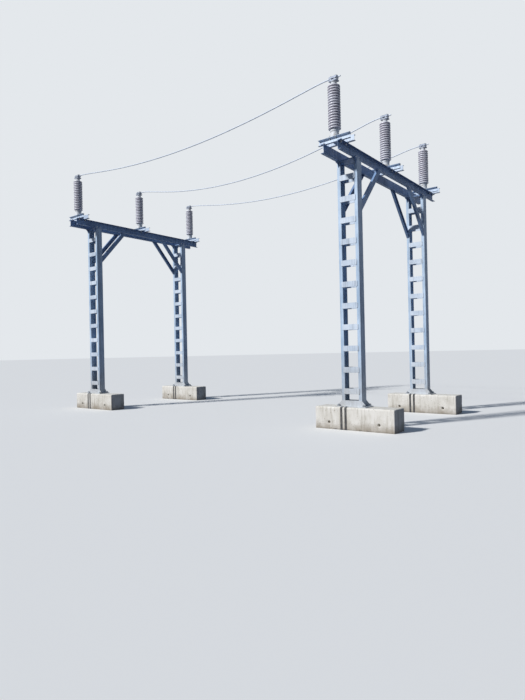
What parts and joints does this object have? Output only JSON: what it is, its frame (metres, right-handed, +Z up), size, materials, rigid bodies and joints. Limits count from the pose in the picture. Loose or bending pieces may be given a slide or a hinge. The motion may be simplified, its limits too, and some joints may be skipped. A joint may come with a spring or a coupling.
{
  "type": "substation switchgear bay",
  "caption": "Open-air switchyard bay: steel portals on concrete sleepers carry post insulators, with bare conductors hanging between the portals.",
  "frame": {"origin": "centre of the bay's footprint at ground level, under the sleepers", "axes": "+X along the crossbeams, +Y along the conductors from the near portal to the far portal, +Z up"},
  "size_m": [4.3, 9.25, 6.122],
  "materials": {
    "concrete": "cast concrete, weathered, with pale and rusty runs down its sides",
    "leg_steel": "light grey aluminium paint on rolled steel",
    "beam_steel": "light grey aluminium paint on rolled steel",
    "porcelain": "glazed electrical porcelain, dulled by dust",
    "cast_fittings": "light paint on cast iron",
    "clamp_metal": "cast aluminium, weathered",
    "conductor_wire": "stranded aluminium wire",
    "strap_paint": "black paint on flat steel bar"
  },
  "bodies": {
    "root": {"near_left_sleeper": "concrete", "near_right_sleeper": "concrete", "near_left_leg": "leg_steel", "near_right_leg": "leg_steel", "near_left_battens": "leg_steel", "near_right_battens": "leg_steel", "near_leg_shoes": "leg_steel", "near_front_beam": "beam_steel", "near_rear_beam": "beam_steel", "near_corner_gussets": "beam_steel", "near_left_braces": "beam_steel", "near_right_braces": "beam_steel", "near_bearers": "beam_steel", "near_insulator_1": "porcelain", "near_insulator_2": "porcelain", "near_insulator_3": "porcelain", "near_insulator_fittings": "cast_fittings", "near_conductor_clamps": "clamp_metal", "near_clamp_keepers": "clamp_metal", "near_earth_straps": "strap_paint", "far_left_sleeper": "concrete", "far_right_sleeper": "concrete", "far_left_leg": "leg_steel", "far_right_leg": "leg_steel", "far_left_battens": "leg_steel", "far_right_battens": "leg_steel", "far_leg_shoes": "leg_steel", "far_front_beam": "beam_steel", "far_rear_beam": "beam_steel", "far_corner_gussets": "beam_steel", "far_left_braces": "beam_steel", "far_right_braces": "beam_steel", "far_bearers": "beam_steel", "far_insulator_1": "porcelain", "far_insulator_2": "porcelain", "far_insulator_3": "porcelain", "far_insulator_fittings": "cast_fittings", "far_conductor_clamps": "clamp_metal", "far_clamp_keepers": "clamp_metal", "far_earth_straps": "strap_paint", "conductor_1": "conductor_wire", "conductor_2": "conductor_wire", "conductor_3": "conductor_wire"}
  },
  "joints": []
}
